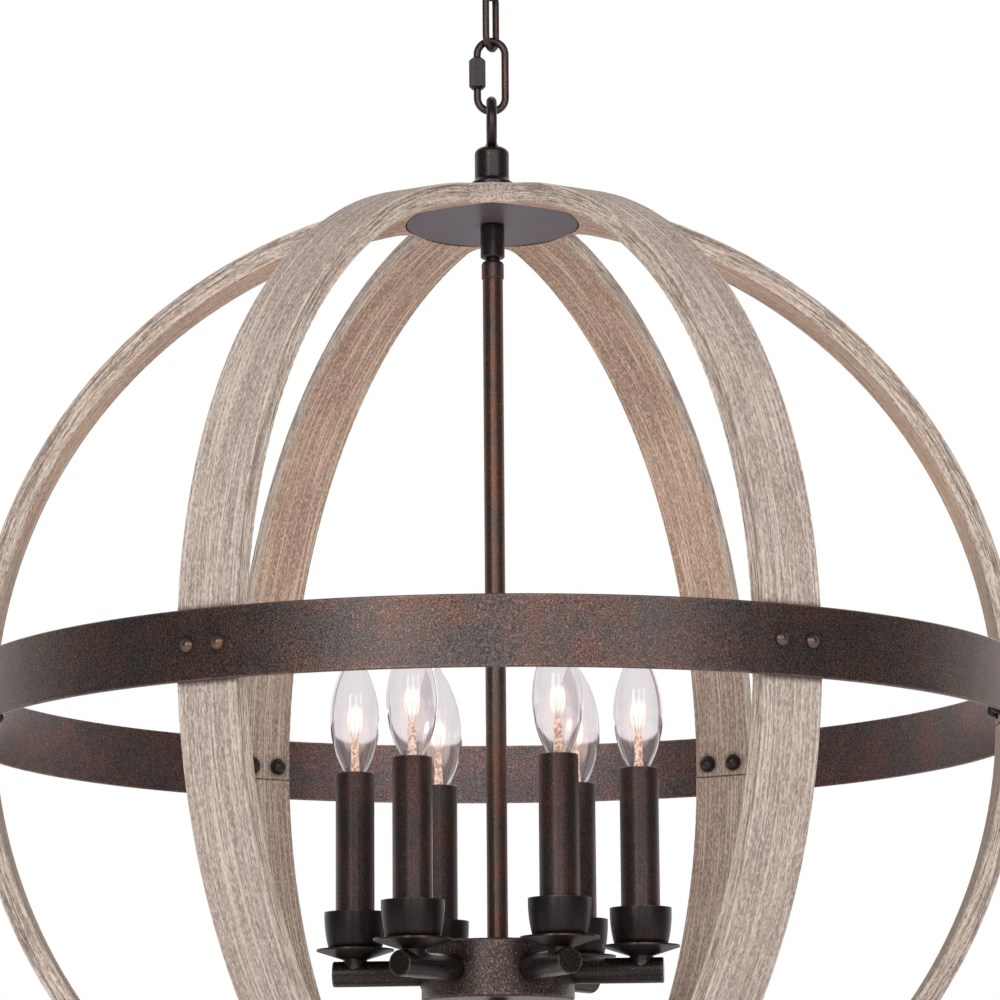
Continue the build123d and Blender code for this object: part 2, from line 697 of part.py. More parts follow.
def post():
    """Hollow post, saddled on the arm, that carries the saucer, cup and lampholder."""
    collar = tube(POST_DIAMETER / 2, POST_BORE / 2, 0, saucer_floor)
    saddle = Rot(0, 90, 0) * rod(arm_radius + SEAT_GAP, -ARM_DIAMETER, ARM_DIAMETER)
    spigot = tube(POST_SPIGOT / 2, POST_BORE / 2, arm_bore - POST_TAIL, post_top)
    return collar - saddle + spigot


def saucer():
    """Shallow coned drip saucer."""
    hole = POST_SPIGOT / 2 + THREAD_FIT
    return turned(
        (hole, saucer_floor),
        (SAUCER_FLOOR_RADIUS, saucer_floor),
        (SAUCER_RADIUS, saucer_rim - SAUCER_WALL),
        (SAUCER_RADIUS, saucer_rim),
        (SAUCER_FLOOR_RADIUS, saucer_floor + SAUCER_WALL),
        (hole, saucer_floor + SAUCER_WALL),
    )


def cup_form(wall, base):
    """Solid of the candle cup's inside or outside, drawn in by a wall."""
    shoulder = (CUP_SHOULDER_RADIUS - wall, cup_base + CUP_SHOULDER_HEIGHT)
    foot = (CUP_BASE_RADIUS - wall, base)
    side = RadiusArc(shoulder, (CUP_RIM_RADIUS - wall, cup_rim), -CUP_SIDE_BEND)
    return turned_edges(
        Polyline((CUP_RIM_RADIUS - wall, cup_rim), (0, cup_rim), (0, base), foot),
        TangentArc(shoulder, foot, tangent=side.tangent_at(0) * -1),
        side,
    )


def cup():
    """Tapered candle cup with a foot on the saucer's floor."""
    hole = POST_SPIGOT / 2 + THREAD_FIT
    foot = rod(SAUCER_FLOOR_RADIUS - SAUCER_WALL, cup_foot, cup_floor)
    bowl = cup_form(0, cup_base) - cup_form(CUP_WALL, cup_floor)
    return bowl + foot - rod(hole, 0, cup_rim)


def sleeve():
    outer = SLEEVE_DIAMETER / 2
    return chamfered_tube(outer, outer - SLEEVE_WALL, cup_floor, sleeve_top, SLEEVE_WALL / 3)


def lampholder():
    """Screw lampholder on a tube that stands on the cup's floor."""
    socket = SCREW_SHELL_DIAMETER / 2 + TURN_FIT
    neck = HOLDER_NECK / 2
    spigot = POST_SPIGOT / 2 + THREAD_FIT
    bore = POST_BORE / 2
    return turned(
        (spigot, cup_floor),
        (neck, cup_floor),
        (neck, holder_body_bottom),
        (HOLDER_DIAMETER / 2, holder_body_bottom),
        (HOLDER_DIAMETER / 2, holder_top),
        (socket, holder_top),
        (socket, socket_floor),
        (0, socket_floor),
        (0, socket_floor - HOLDER_FLOOR),
        (bore, socket_floor - HOLDER_FLOOR),
        (bore, post_top + SEAT_GAP),
        (spigot, post_top + SEAT_GAP),
    )


def bulb_form(wall):
    """Solid of the bulb's outside or inside: a torpedo with its neck on the screw shell."""
    belly = BULB_RADIUS - wall
    neck = BULB_NECK_RADIUS - wall
    tip = BULB_TIP_RADIUS - wall / 2
    foot = (neck, shell_top)
    widest = (belly, shell_top + BULB_BELLY_HEIGHT)
    shoulder = (tip, shell_top + BULB_TIP_HEIGHT - BULB_TIP_RADIUS / 2 - wall)
    peak = (0, shell_top + BULB_TIP_HEIGHT - wall)
    return turned_edges(
        Polyline(peak, (0, shell_top), foot),
        TangentArc(widest, foot, tangent=(0, -1)),
        TangentArc(widest, shoulder, tangent=(0, 1)),
        TangentArc(peak, shoulder, tangent=(1, 0)),
    )


def bulb_glass():
    """Closed envelope, open at the neck over the glass mount."""
    return bulb_form(0) - bulb_form(BULB_WALL)


def bulb_base():
    """Screw shell with its end contact, and the glass mount inside the envelope."""
    shell = SCREW_SHELL_DIAMETER / 2
    taper = CONTACT_HEIGHT / 2
    return turned(
        (0, shell_bottom - CONTACT_HEIGHT),
        (CONTACT_RADIUS, shell_bottom - CONTACT_HEIGHT),
        (shell - taper, shell_bottom),
        (shell, shell_bottom + taper),
        (shell, shell_top),
        (MOUNT_FOOT_RADIUS, shell_top),
        (MOUNT_TOP_RADIUS, shell_top + MOUNT_LENGTH / 2),
        (MOUNT_TOP_RADIUS, shell_top + MOUNT_LENGTH),
        (0, shell_top + MOUNT_LENGTH),
    )


def wiring():
    """Main lead in the stem, a splice in the hub and one bent lead in each arm."""
    splice_top = boss_bottom - LEAD_GAP
    splice = rod(SPLICE_RADIUS, splice_top - SPLICE_HEIGHT, splice_top)
    main_top = ORB_RADIUS + WASHER_HEIGHT + NIPPLE_GRIP
    main = rod(MAIN_LEAD / 2, splice_top, main_top)
    route = FilletPolyline(
        (SPLICE_RADIUS + LEAD_GAP, 0, 0),
        (CANDLE_CIRCLE, 0, 0),
        (CANDLE_CIRCLE, 0, socket_floor - HOLDER_FLOOR - LEAD_GAP),
        radius=ARM_LEAD_BEND,
    )
    section = Plane(route @ 0, z_dir=route % 0) * Circle(ARM_LEAD / 2)
    lead = Pos(0, 0, arm_z) * sweep(section, route)
    return [main, splice] + around(lead, ARM_COUNT, ARM_TURN)


os.makedirs("parts", exist_ok=True)
orb = Pos(0, 0, orb_z)

# Ceiling mount
upper_nut_bottom = -STRAP_OFFSET
lower_nut_bottom = -STRAP_OFFSET - STRAP_THICKNESS - LOCK_NUT_THICKNESS
canopy_nipple_top = upper_nut_bottom + LOCK_NUT_THICKNESS + CANOPY_NIPPLE_RISE
write("mounting_strap", strap())
write("ceiling_canopy", canopy())
write("canopy_nipple", tube(nipple_radius, NIPPLE_BORE / 2, -CANOPY_DEPTH - NIPPLE_GRIP, canopy_nipple_top))
write("canopy_lock_nuts", lock_nut(upper_nut_bottom), lock_nut(lower_nut_bottom))
write("canopy_loop", Pos(0, 0, -CANOPY_DEPTH) * Rot(180, 0, 0) * loop_collar())

# Chain
for place, (top, turn) in zip(("upper", "lower"), zip(link_tops, LINK_TURNS)):
    write("chain_link_" + place, Pos(0, 0, top - LINK_LENGTH / 2) * Rot(0, 0, turn) * chain_link())
quick_place = Pos(0, 0, quick_middle)
write("quick_link", quick_place * quick_link())
write("quick_link_nut", quick_place * quick_link_nut())

# Crown and stem
crown_nipple_top = ORB_RADIUS + WASHER_HEIGHT + NIPPLE_GRIP
write("hang_loop", Pos(0, 0, washer_top) * loop_collar())
write("crown_washer", orb * crown_washer())
write("crown_nipple", orb * tube(nipple_radius, NIPPLE_BORE / 2, stem_shoulder, crown_nipple_top))
write("crown_plate", orb * crown_plate())
coupling_radius = COUPLING_DIAMETER / 2
coupling = chamfered_tube(coupling_radius, nipple_hole, coupling_bottom, coupling_top, TURNED_CHAMFER)
write("stem_coupling", orb * coupling)
write("stem_tube", orb * stem())

# Ribs, band and base
for number, (upper, lower) in enumerate(
    zip(around(upper_rib(), RIB_COUNT), around(lower_rib(), RIB_COUNT)), start=1
):
    write(f"rib_upper_{number}", orb * upper)
    write(f"rib_lower_{number}", orb * lower)
write("equator_band", orb * band())
write("band_bolts", *[orb * outward(band_bolt(), band_outer, turn) for turn in bolt_places()])
write("band_cap_nuts", *[orb * outward(band_cap_nut(), cap_nut_seat(), turn) for turn in bolt_places()])
write("base_plate", orb * base_plate())
write("base_finial", orb * base_finial())

# Hub, arms and candles
write("hub_drum", orb * hub_drum())
write("hub_cover", orb * hub_cover())
write("hub_finial", orb * hub_finial())
arm_place = Pos(0, 0, orb_z + arm_z)
candle_place = arm_place * Pos(CANDLE_CIRCLE, 0, 0)
for number, solid in enumerate(around(arm_place * arm(), ARM_COUNT, ARM_TURN), start=1):
    write(f"arm_{number}", solid)
write("arm_lock_rings", *around(arm_place * arm_lock_ring(), ARM_COUNT, ARM_TURN))
candle_pieces = {
    "candle_posts": post(),
    "drip_saucers": saucer(),
    "candle_cups": cup(),
    "lampholders": lampholder(),
    "candle_sleeves": sleeve(),
}
for node, piece in candle_pieces.items():
    write(node, *around(candle_place * piece, ARM_COUNT, ARM_TURN))
for number, solid in enumerate(around(candle_place * bulb_glass(), ARM_COUNT, ARM_TURN), start=1):
    write(f"bulb_{number}_glass", solid)
for number, solid in enumerate(around(candle_place * bulb_base(), ARM_COUNT, ARM_TURN), start=1):
    write(f"bulb_{number}_base", solid)
write("wiring", *[orb * solid for solid in wiring()])

print("orb centre", round(orb_z, 3), "quick link middle", round(quick_middle, 3))
print("band bolts", round(orb_z - BAND_DROP, 3), "arm axis", round(orb_z + arm_z, 3))
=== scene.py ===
import json
import math

import bpy
from mathutils import Matrix, Vector


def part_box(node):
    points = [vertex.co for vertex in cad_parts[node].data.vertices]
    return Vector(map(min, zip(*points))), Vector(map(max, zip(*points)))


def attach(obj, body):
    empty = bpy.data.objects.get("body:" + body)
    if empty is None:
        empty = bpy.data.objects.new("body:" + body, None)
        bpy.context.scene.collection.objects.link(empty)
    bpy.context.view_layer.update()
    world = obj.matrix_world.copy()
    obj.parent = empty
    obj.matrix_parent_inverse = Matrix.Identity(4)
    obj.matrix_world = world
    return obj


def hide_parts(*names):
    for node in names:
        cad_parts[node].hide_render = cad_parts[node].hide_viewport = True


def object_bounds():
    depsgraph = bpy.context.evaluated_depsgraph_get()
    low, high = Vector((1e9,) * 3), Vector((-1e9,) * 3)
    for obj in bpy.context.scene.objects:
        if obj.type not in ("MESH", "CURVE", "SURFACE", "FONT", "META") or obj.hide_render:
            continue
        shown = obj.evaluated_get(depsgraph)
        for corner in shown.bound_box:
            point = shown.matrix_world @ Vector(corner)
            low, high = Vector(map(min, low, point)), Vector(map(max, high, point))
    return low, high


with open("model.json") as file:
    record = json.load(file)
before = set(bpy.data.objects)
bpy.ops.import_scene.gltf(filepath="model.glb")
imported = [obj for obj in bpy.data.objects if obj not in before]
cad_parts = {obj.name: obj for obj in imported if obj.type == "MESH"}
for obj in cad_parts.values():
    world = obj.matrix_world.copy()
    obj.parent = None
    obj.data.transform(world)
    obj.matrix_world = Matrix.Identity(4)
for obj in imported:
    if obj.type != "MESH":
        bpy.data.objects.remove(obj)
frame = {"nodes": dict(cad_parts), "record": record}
cad_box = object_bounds()

# Sizes in metres
MM = 0.001
ORB_RADIUS = 352 * MM  # outer face of the hoops
RIB_THICKNESS = 14 * MM
RIB_HALF_WIDTH = 21 * MM
RIB_ARRIS = 2.0 * MM  # pale strip along a rib's edges, partly rubbed wear and partly painted highlight
RIB_COUNT = 6
GREYING_TOP = 150 * MM  # above the orb's centre, where the inner faces start to turn grey
GREYING_FULL = 50 * MM
BULB_COUNT = 6
orb_centre = Vector((0, 0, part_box("crown_washer")[0].z - ORB_RADIUS))

# Camera, placed from the orb's centre
CAMERA_OFFSET = Vector((-23.4, -2736.1, -374.3)) * MM
CAMERA_TILT = math.radians(10.682)
CAMERA_YAW = math.radians(0.569)
CAMERA_ROLL = math.radians(-0.448)
CAMERA_LENS = 147.985
CAMERA_SENSOR = 36.0

# Studio
FLOOR_DROP = 0.75  # below the part's lowest point
FLOOR_SIZE = 30.0
LAMP_DISTANCE = 3.4
FLOOR_GLOW = 0.42  # lifts the floor to white for the camera alone
AMBIENT = 0.57  # level of the light from all round
ROOM = 0.06  # what metal sees of the room in front of the backdrop

# Bulb pieces, heights above the screw shell's top
BULB_RADIUS = 16.7 * MM
BULB_NECK_RADIUS = 5.4 * MM
BULB_BELLY_HEIGHT = 38.9 * MM
BULB_TIP_HEIGHT = 85.8 * MM
BULB_TIP_RADIUS = 1.6 * MM
BULB_WALL = 0.8 * MM
SCREW_SHELL_RADIUS = 5.95 * MM
SCREW_SHELL_LENGTH = 18 * MM
SCREW_PITCH = 2.6 * MM
CONTACT_HEIGHT = 2 * MM
THREAD_DEPTH = 0.35 * MM
THREAD_RINGS = 60
MOUNT_HEIGHT = 27 * MM
LEAD_RADIUS = 0.35 * MM
SUPPORT_FOOT = 22 * MM  # where the middle support leaves the mount
FILAMENT_HEIGHT = 39 * MM
FILAMENT_HALF_SPAN = 4.2 * MM
FILAMENT_RISE = 6 * MM  # arch over its middle support
FILAMENT_COIL_RADIUS = 0.8 * MM
FILAMENT_WIRE_RADIUS = 0.3 * MM
FILAMENT_TURNS = 12
GLOW_CENTRE = 33 * MM
GLOW_RADIUS = 8.5 * MM
GLOW_HALF_HEIGHT = 20 * MM
HEART_CENTRE = 38.5 * MM
HEART_RADIUS = 5.2 * MM
HEART_HALF_HEIGHT = 11.5 * MM
BULB_TURN = math.radians(40)  # from one bulb to the next, so that no two show the same side
GLASS_IOR = 1.46
SMOOTH_ANGLE = math.radians(40)


def srgb(red, green, blue):
    """A colour as it is seen on screen, 0 to 255, in the shader's linear values."""

    def linear(value):
        share = value / 255
        return share / 12.92 if share <= 0.04045 else ((share + 0.055) / 1.055) ** 2.4

    return (linear(red), linear(green), linear(blue), 1.0)


def shade(colour, level):
    """A colour made darker or lighter."""
    return tuple(level * value for value in colour[:3]) + (1.0,)


# Small helpers for node trees


def feed(tree, socket, value):
    """Sets a number or a colour on a socket, or links another socket to it."""
    if isinstance(value, (int, float, tuple)):
        socket.default_value = value
    else:
        tree.links.new(value, socket)


def calc(tree, operation, *values):
    """One Math node of numbers and sockets."""
    node = tree.nodes.new("ShaderNodeMath")
    node.operation = operation
    for socket, value in zip(node.inputs, values):
        feed(tree, socket, value)
    return node.outputs[0]


def root_of_squares(tree, first, second):
    """Length of the long side over two short ones."""
    squares = (calc(tree, "POWER", value, 2.0) for value in (first, second))
    return calc(tree, "SQRT", calc(tree, "ADD", *squares))


def colour_mix(tree, factor, first, second, mode="MIX"):
    """One colour Mix node of tuples and sockets, with a number or a socket as its factor."""
    node = tree.nodes.new("ShaderNodeMix")
    node.data_type = "RGBA"
    node.blend_type = mode
    for place, value in ((0, factor), (6, first), (7, second)):
        feed(tree, node.inputs[place], value)
    return node.outputs[2]


def soft_step(tree, value, low, high):
    """0 at low, 1 at high, and smooth between them; low may be the larger of the two."""
    node = tree.nodes.new("ShaderNodeMapRange")
    node.interpolation_type = "SMOOTHSTEP"
    for name, setting in (("Value", value), ("From Min", low), ("From Max", high)):
        feed(tree, node.inputs[name], setting)
    return node.outputs["Result"]


def noise(tree, vector, scale, detail=2.0, roughness=0.5, distortion=0.0):
    """Noise value at a scale."""
    node = tree.nodes.new("ShaderNodeTexNoise")
    tree.links.new(vector, node.inputs["Vector"])
    node.inputs["Scale"].default_value = scale
    node.inputs["Detail"].default_value = detail
    node.inputs["Roughness"].default_value = roughness
    node.inputs["Distortion"].default_value = distortion
    return node.outputs["Fac"]


def new_group(name, inputs, outputs):
    """An empty shader node group with float inputs and outputs."""
    tree = bpy.data.node_groups.new(name, "ShaderNodeTree")
    for label, default in inputs:
        socket = tree.interface.new_socket(name=label, in_out="INPUT", socket_type="NodeSocketFloat")
        socket.default_value = default
    for label in outputs:
        tree.interface.new_socket(name=label, in_out="OUTPUT", socket_type="NodeSocketFloat")
    return tree, tree.nodes.new("NodeGroupInput"), tree.nodes.new("NodeGroupOutput")


def place_group(tree, group, **values):
    """A group placed in a material with its own values."""
    node = tree.nodes.new("ShaderNodeGroup")
    node.node_tree = group
    for name, value in values.items():
        node.inputs[name].default_value = value
    return node.outputs


def place_on_piece(tree):
    """The piece's own coordinates."""
    return tree.nodes.new("ShaderNodeTexCoord").outputs["Object"]


def split_axes(tree, vector):
    """The X, Y and Z of a vector."""
    parts = tree.nodes.new("ShaderNodeSeparateXYZ")
    tree.links.new(vector, parts.inputs[0])
    return parts.outputs


def new_material(name):
    """A material with its own node tree and Principled shader."""
    material = bpy.data.materials.new(name)
    material.use_nodes = True
    tree = material.node_tree
    return material, tree, tree.nodes["Principled BSDF"]


def set_bump(tree, shader, height, distance, strength):
    """Relief of a height value on a shader's normal."""
    bump = tree.nodes.new("ShaderNodeBump")
    bump.inputs["Distance"].default_value = distance
    bump.inputs["Strength"].default_value = strength
    tree.links.new(height, bump.inputs["Height"])
    tree.links.new(bump.outputs["Normal"], shader.inputs["Normal"])


# Effects that several finishes share


def rib_grain_group():
    """Grain that follows each bent rib: fibres, streaks, pores and flecks along its hoop."""
    along_the_grain = ("Fibre", "Streak", "Line", "Pore", "Fleck", "Tone", "Mottle", "Crack")
    by_place = ("Inner", "Low", "Side", "Arris")
    tree, _, result = new_group("rib_grain", [], along_the_grain + by_place)
    offset = tree.nodes.new("ShaderNodeVectorMath")
    offset.operation = "SUBTRACT"
    offset.inputs[1].default_value = orb_centre
    tree.links.new(place_on_piece(tree), offset.inputs[0])
    x, y, z = split_axes(tree, offset.outputs[0])

    # Place on the rib: across its width, along its hoop and out from the centre
    step = 2 * math.pi / RIB_COUNT
    turn = calc(tree, "ARCTAN2", y, x)
    rib = calc(tree, "ROUND", calc(tree, "DIVIDE", turn, step))
    swing = calc(tree, "SUBTRACT", turn, calc(tree, "MULTIPLY", rib, step))
    reach = root_of_squares(tree, x, y)
    across = calc(tree, "MULTIPLY", reach, calc(tree, "SINE", swing))
    out = calc(tree, "MULTIPLY", reach, calc(tree, "COSINE", swing))
    along = calc(tree, "MULTIPLY", calc(tree, "ARCTAN2", z, out), ORB_RADIUS)
    depth = root_of_squares(tree, out, z)
    number = calc(tree, "WRAP", rib, float(RIB_COUNT), 0.0)

    def stretched(width, length, detail, roughness=0.5, distortion=0.0):
        """Noise with features of a width across the rib and a length along it."""
        place = tree.nodes.new("ShaderNodeCombineXYZ")
        another_board = calc(tree, "MULTIPLY", number, 7.3)
        shifted = calc(tree, "ADD", calc(tree, "DIVIDE", depth, width), another_board)
        tree.links.new(calc(tree, "DIVIDE", across, width), place.inputs[0])
        tree.links.new(calc(tree, "DIVIDE", along, length), place.inputs[1])
        tree.links.new(shifted, place.inputs[2])
        return noise(tree, place.outputs[0], 1.0, detail, roughness, distortion)

    # Masks by place: faces, sides, and pale edges that are partly rubbed wear and partly painted
    # highlight
    edge = calc(tree, "ABSOLUTE", across)
    inner_radius = ORB_RADIUS - RIB_THICKNESS
    past_side = soft_step(tree, edge, RIB_HALF_WIDTH + 0.4 * MM, RIB_HALF_WIDTH + 1.0 * MM)
    near_side = soft_step(tree, edge, RIB_HALF_WIDTH - RIB_ARRIS, RIB_HALF_WIDTH - 0.3 * MM)
    near_side = calc(tree, "SUBTRACT", near_side, past_side)
    near_outer = soft_step(tree, depth, ORB_RADIUS - RIB_ARRIS, ORB_RADIUS - 0.3 * MM)
    near_inner = soft_step(tree, depth, inner_radius + RIB_ARRIS, inner_radius + 0.3 * MM)
    near_face = calc(tree, "MAXIMUM", near_outer, near_inner)
    broken = soft_step(tree, stretched(3 * MM, 14 * MM, 3.0, 0.6), 0.42, 0.60)
    pale_arris = calc(tree, "MAXIMUM", near_outer, calc(tree, "MULTIPLY", near_inner, 0.4))
    on_side = soft_step(tree, edge, RIB_HALF_WIDTH - 0.7 * MM, RIB_HALF_WIDTH - 0.2 * MM)
    inner = soft_step(tree, depth, inner_radius + 2.5 * MM, inner_radius + 0.5 * MM)

    # Cracks in the sides, more of them towards the outer face
    split = stretched(0.8 * MM, 26 * MM, 3.0, 0.65, 0.2)
    weather = calc(tree, "MULTIPLY", soft_step(tree, depth, inner_radius, ORB_RADIUS), 0.10)
    masks = {
        "Fibre": stretched(1.2 * MM, 10 * MM, 3.0, 0.65, 0.3),
        "Streak": stretched(1.5 * MM, 60 * MM, 3.0, 0.6),
        "Line": soft_step(tree, stretched(1.2 * MM, 100 * MM, 2.0, 0.6), 0.52, 0.62),
        "Pore": soft_step(tree, stretched(1.1 * MM, 4 * MM, 1.0), 0.56, 0.68),
        "Fleck": soft_step(tree, stretched(0.9 * MM, 3.4 * MM, 2.0, 0.65, 0.4), 0.49, 0.62),
        "Tone": stretched(30 * MM, 110 * MM, 2.0),
        "Mottle": stretched(1.2 * MM, 3.6 * MM, 2.0, 0.7, 0.6),
        "Inner": inner,
        "Low": calc(tree, "MULTIPLY", inner, soft_step(tree, z, GREYING_TOP, GREYING_FULL)),
        "Side": calc(tree, "MULTIPLY", on_side, calc(tree, "SUBTRACT", 1.0, near_face)),
        "Crack": soft_step(tree, calc(tree, "ADD", split, weather), 0.56, 0.61),
        "Arris": calc(tree, "MULTIPLY", calc(tree, "MULTIPLY", near_side, pale_arris), broken),
    }
    for name, value in masks.items():
        tree.links.new(value, result.inputs[name])
    return tree


def speckle_group():
    """Sandy grain, fine rubbed specks and slow clouds, for dark bronze."""
    tree, given, result = new_group("rubbed_speckle", [("Cover", 0.5)], ("Speck", "Cloud", "Grain"))
    place = place_on_piece(tree)
    grain = noise(tree, place, 1000.0, 2.0, 0.65)
    cloud = noise(tree, place, 38.0, 3.0, 0.6)
    uneven = calc(tree, "MULTIPLY", calc(tree, "SUBTRACT", cloud, 0.5), 0.12)
    limit = calc(tree, "SUBTRACT", 0.72, calc(tree, "MULTIPLY", given.outputs["Cover"], 0.2))
    limit = calc(tree, "SUBTRACT", limit, uneven)
    speck = soft_step(tree, grain, limit, calc(tree, "ADD", limit, 0.1))
    tree.links.new(speck, result.inputs["Speck"])
    tree.links.new(soft_step(tree, cloud, 0.35, 0.70), result.inputs["Cloud"])
    tree.links.new(soft_step(tree, grain, 0.36, 0.64), result.inputs["Grain"])
    return tree


def worn_edge_group():
    """Mask of sharp edges, broken up by noise."""
    tree, given, result = new_group("worn_edge", [("Width", 0.001)], ("Edge",))
    rounded = tree.nodes.new("ShaderNodeBevel")
    rounded.samples = 4
    tree.links.new(given.outputs["Width"], rounded.inputs["Radius"])
    flat = tree.nodes.new("ShaderNodeNewGeometry").outputs["Normal"]
    likeness = tree.nodes.new("ShaderNodeVectorMath")
    likeness.operation = "DOT_PRODUCT"
    tree.links.new(rounded.outputs[0], likeness.inputs[0])
    tree.links.new(flat, likeness.inputs[1])
    bend = soft_step(tree, calc(tree, "SUBTRACT", 1.0, likeness.outputs["Value"]), 0.02, 0.2)
    breaks = soft_step(tree, noise(tree, place_on_piece(tree), 260.0, 3.0), 0.36, 0.56)
    tree.links.new(calc(tree, "MULTIPLY", bend, breaks), result.inputs["Edge"])
    return tree


def corner_shade_group():
    """Mask of painted shade in corners, such as round a bolt head, where ambient occlusion finds
    nearby surfaces.
    """
    tree, given, result = new_group("corner_shade", [("Reach", 0.006)], ("CornerShade",))
    open_air = tree.nodes.new("ShaderNodeAmbientOcclusion")
    open_air.samples = 4
    tree.links.new(given.outputs["Reach"], open_air.inputs["Distance"])
    tree.links.new(soft_step(tree, open_air.outputs["AO"], 0.96, 0.60), result.inputs["CornerShade"])
    return tree


rib_grain = rib_grain_group()
rubbed_speckle = speckle_group()
worn_edge = worn_edge_group()
corner_shade = corner_shade_group()


# Finishes


def weathered_wood():
    """Grey-brown stained ribs with open grain, browner inside, with dark cracks in their sides."""
    material, tree, shader = new_material("weathered_wood")
    grain = place_group(tree, rib_grain)
    tone = soft_step(tree, grain["Tone"], 0.35, 0.65)
    outer = colour_mix(tree, tone, srgb(182, 163, 156), srgb(192, 174, 163))
    inner = colour_mix(tree, tone, srgb(184, 148, 130), srgb(206, 171, 147))
    pale = colour_mix(tree, grain["Inner"], srgb(236, 224, 212), srgb(244, 218, 198))
    colour = colour_mix(tree, grain["Inner"], outer, inner)

    outside = calc(tree, "SUBTRACT", 1.0, calc(tree, "MULTIPLY", grain["Inner"], 0.15))
    inside = calc(tree, "ADD", 1.0, calc(tree, "MULTIPLY", grain["Inner"], 0.4))

    def layer(below, mask, share, paint):
        """A share of paint where the mask is."""
        return colour_mix(tree, calc(tree, "MULTIPLY", mask, share), below, paint)

    def stain(below, mask, share, paint):
        """A layer that is weaker on the inner faces."""
        return layer(below, calc(tree, "MULTIPLY", mask, outside), share, paint)

    colour = layer(colour, grain["Side"], 0.8, srgb(238, 217, 201))
    streak = soft_step(tree, grain["Streak"], 0.45, 0.62)
    fibre = soft_step(tree, grain["Fibre"], 0.42, 0.66)
    mottle = soft_step(tree, grain["Mottle"], 0.46, 0.66)
    colour = stain(colour, streak, 0.48, srgb(144, 121, 108))
    colour = stain(colour, fibre, 0.42, srgb(136, 116, 105))
    colour = stain(colour, mottle, 0.45, srgb(124, 103, 92))
    colour = layer(colour, calc(tree, "MULTIPLY", grain["Line"], inside), 0.50, pale)
    colour = layer(colour, calc(tree, "MULTIPLY", grain["Fleck"], inside), 0.45, pale)
    colour = stain(colour, grain["Pore"], 0.34, srgb(104, 85, 75))
    cracks = calc(tree, "MULTIPLY", grain["Side"], grain["Crack"])
    colour = layer(colour, cracks, 0.62, srgb(92, 74, 66))
    # Pale arris strip: partly rubbed wear, partly a painted highlight along the edges
    colour = layer(colour, grain["Arris"], 0.50, srgb(236, 223, 208))
    # Inner faces made darker and greyer towards the bottom
    lower_grey = (0.70, 0.76, 0.80, 1.0)
    colour = colour_mix(tree, grain["Low"], colour, lower_grey, "MULTIPLY")
    # Painted shade: the wood made darker in corners and round the parts that touch it
    painted_shade = place_group(tree, corner_shade, Reach=4 * MM)["CornerShade"]
    colour = layer(colour, painted_shade, 0.75, srgb(58, 45, 38))
    tree.links.new(colour, shader.inputs["Base Color"])
    shader.inputs["Roughness"].default_value = 0.8
    shader.inputs["Specular IOR Level"].default_value = 0.25
    relief = calc(tree, "ADD", grain["Pore"], calc(tree, "ADD", grain["Fibre"], cracks))
    set_bump(tree, shader, calc(tree, "MULTIPLY", relief, -1.0), 0.6 * MM, 0.5)
    return material


def bronze(
    name, body, rub, cover, roughness, edge, grit, metal=0.8, wear_width=1.4 * MM, inside=None
):
    """Dark bronze with a sandy grain, cool and warm in turn, rubbed in specks and at its edges.

    inside is the radius within which the face is painted lighter: painted light on the band's inner
    face.
    """
    material, tree, shader = new_material(name)
    speck = place_group(tree, rubbed_speckle, Cover=cover)
    worn = place_group(tree, worn_edge, Width=wear_width)
    grey = sum(body[:3]) / 3
    cool = tuple(0.3 * value + 0.55 * grey for value in body[:3])

    def sandy(tone):
        """A tone that is darker and lighter from grain to grain."""
        low, high = (shade(tone, level) for level in (1 - 0.5 * grit, 1 + 0.5 * grit))
        return colour_mix(tree, speck["Grain"], low, high)

    colour = colour_mix(tree, speck["Cloud"], sandy(cool), sandy(body))
    bare = calc(tree, "MAXIMUM", speck["Speck"], calc(tree, "MULTIPLY", worn["Edge"], edge))
    colour = colour_mix(tree, calc(tree, "MULTIPLY", bare, 0.75), colour, rub)
    if inside:
        # Painted light: the inner face lifted lighter and a little bluer
        reach = root_of_squares(tree, *split_axes(tree, place_on_piece(tree))[:2])
        painted_light_mask = soft_step(tree, reach, inside, inside - 1 * MM)
        painted_light_lift = (1.4, 1.4, 1.5, 1.0)
        colour = colour_mix(tree, painted_light_mask, colour, painted_light_lift, "MULTIPLY")
    # Painted shade: the bronze made darker in corners, such as round bolt heads
    painted_shade = place_group(tree, corner_shade)["CornerShade"]
    colour = colour_mix(tree, calc(tree, "MULTIPLY", painted_shade, 0.6), colour, srgb(26, 20, 18))
    tree.links.new(colour, shader.inputs["Base Color"])
    shine = calc(tree, "ADD", calc(tree, "MULTIPLY", bare, 0.9 - metal), metal)
    tree.links.new(shine, shader.inputs["Metallic"])
    rough = calc(tree, "ADD", calc(tree, "MULTIPLY", speck["Grain"], 0.10), roughness - 0.05)
    tree.links.new(rough, shader.inputs["Roughness"])
    shader.inputs["Specular IOR Level"].default_value = 0.4
    set_bump(tree, shader, speck["Grain"], 0.1 * MM, 0.4 * grit)
    return material


def plain(name, colour, roughness, metallic=0.0):
    """A plain finish with slow clouds in its tone."""
    material, tree, shader = new_material(name)
    speck = place_group(tree, rubbed_speckle, Cover=0.2)
    darker = shade(colour, 0.75)
    clouded = colour_mix(tree, speck["Cloud"], colour, darker)
    tree.links.new(clouded, shader.inputs["Base Color"])
    shader.inputs["Roughness"].default_value = roughness
    shader.inputs["Metallic"].default_value = metallic
    return material


def clear_glass(name, tint, roughness):
    """Clear glass with faint reflections."""
    material, _, shader = new_material(name)
    shader.inputs["Base Color"].default_value = tint
    shader.inputs["Transmission Weight"].default_value = 1.0
    shader.inputs["Specular IOR Level"].default_value = 0.15
    shader.inputs["Roughness"].default_value = roughness
    shader.inputs["IOR"].default_value = GLASS_IOR
    return material


